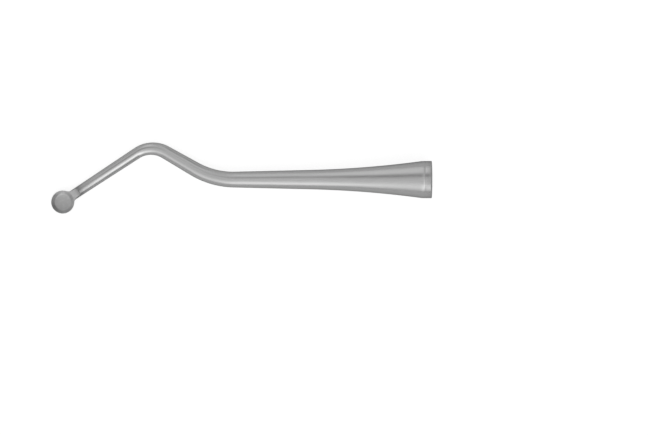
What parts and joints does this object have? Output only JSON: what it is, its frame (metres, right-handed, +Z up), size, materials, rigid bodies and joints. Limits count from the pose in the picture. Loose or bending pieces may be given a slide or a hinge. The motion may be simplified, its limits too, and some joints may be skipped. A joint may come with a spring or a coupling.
{
  "type": "dental spoon excavator",
  "caption": "Working end of a dental spoon excavator: a small round dished spoon on a thin double-bent shank that flares into a collar, all one piece of steel.",
  "frame": {"origin": "centre of the collar's flat end face, where the handle goes on", "axes": "+X from the spoon towards the collar and out of its end face, +Y the side that the knee bends out to, +Z up from the table, the side that the spoon's bowl faces; the part lies as it comes to rest, so the shank axis rises 2.1 degrees towards +X"},
  "size_m": [0.0461, 0.0086, 0.0045],
  "materials": {
    "steel": "satin-polished stainless steel, with the spoon's face ground to a finer matt finish"
  },
  "bodies": {
    "root": {"spoon_excavator": "steel"}
  },
  "joints": []
}
